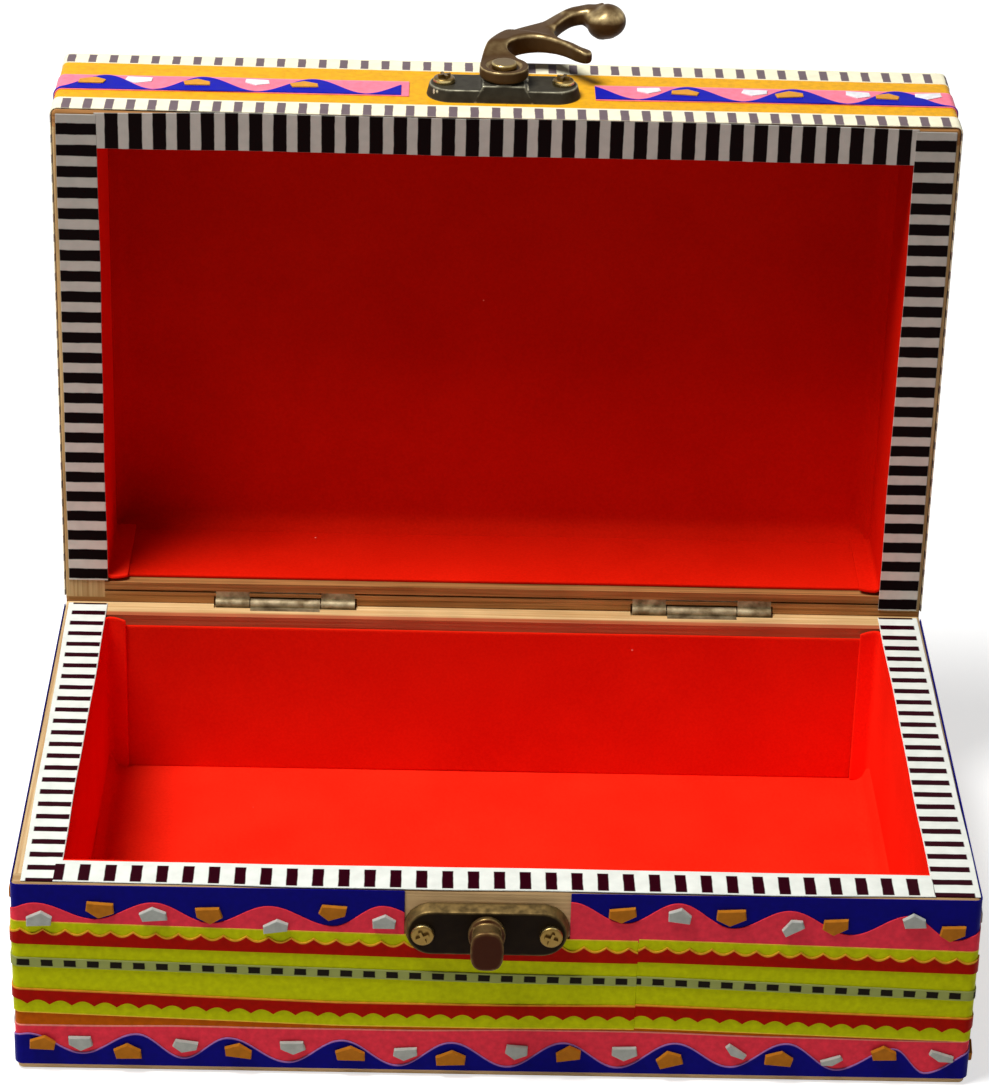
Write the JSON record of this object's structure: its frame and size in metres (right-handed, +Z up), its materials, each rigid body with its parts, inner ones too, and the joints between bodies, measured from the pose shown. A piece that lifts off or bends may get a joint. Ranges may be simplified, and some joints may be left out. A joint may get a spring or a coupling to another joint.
{
  "type": "decorative storage box",
  "caption": "Small hinged wooden box with cut-vinyl wave and zigzag bands, striped rims, red flocked lining, and a swinging brass hook that catches on a post.",
  "frame": {"origin": "centre of the base's underside, on the table", "axes": "+X along the width to the right, +Y from the front to the hinge side, +Z up; the lid stands open"},
  "size_m": [0.1606, 0.1411, 0.1452],
  "materials": {
    "wood": "bare sanded wood",
    "red_flock": "flocked lining sheet",
    "striped_tape": "printed tape",
    "cut_vinyl": "layered cut vinyl",
    "hinge_metal": "plated steel",
    "antique_brass": "antiqued cast brass"
  },
  "bodies": {
    "base": {"base_back_lining": "red_flock", "base_back_panel": "wood", "base_bottom_panel": "wood", "base_floor_lining": "red_flock", "base_front_lining": "red_flock", "base_front_panel": "wood", "base_front_rim_tape": "striped_tape", "base_left_lining": "red_flock", "base_left_panel": "wood", "base_left_rim_tape": "striped_tape", "base_right_lining": "red_flock", "base_right_panel": "wood", "base_right_rim_tape": "striped_tape", "base_vinyl_wrap": "cut_vinyl", "catch_plate": "antique_brass", "catch_plate_screws": "antique_brass", "catch_post": "antique_brass", "left_hinge_base_leaf": "hinge_metal", "left_hinge_pin": "hinge_metal", "right_hinge_base_leaf": "hinge_metal", "right_hinge_pin": "hinge_metal"},
    "lid": {"hook_plate": "antique_brass", "hook_plate_screws": "antique_brass", "hook_rivet": "antique_brass", "left_hinge_lid_leaf": "hinge_metal", "lid_back_lining": "red_flock", "lid_back_panel": "wood", "lid_front_lining": "red_flock", "lid_front_panel": "wood", "lid_front_rim_tape": "striped_tape", "lid_left_lining": "red_flock", "lid_left_panel": "wood", "lid_left_rim_tape": "striped_tape", "lid_right_lining": "red_flock", "lid_right_panel": "wood", "lid_right_rim_tape": "striped_tape", "lid_top_lining": "red_flock", "lid_top_panel": "wood", "lid_top_vinyl": "cut_vinyl", "lid_vinyl_wrap": "cut_vinyl", "right_hinge_lid_leaf": "hinge_metal"},
    "hook": {"swing_hook": "antique_brass"}
  },
  "joints": [
    {"name": "lid_hinge", "type": "hinge", "parent": "base", "child": "lid", "pos_m": [0, 0.0474, 0.0372], "axis": [1, 0, 0], "range_deg": [0, 90]},
    {"name": "hook_swing", "type": "hinge", "parent": "lid", "child": "hook", "pos_m": [-0.0006, 0.0593, 0.1346], "axis": [0, 0, -1], "range_deg": [-45, 140]}
  ]
}
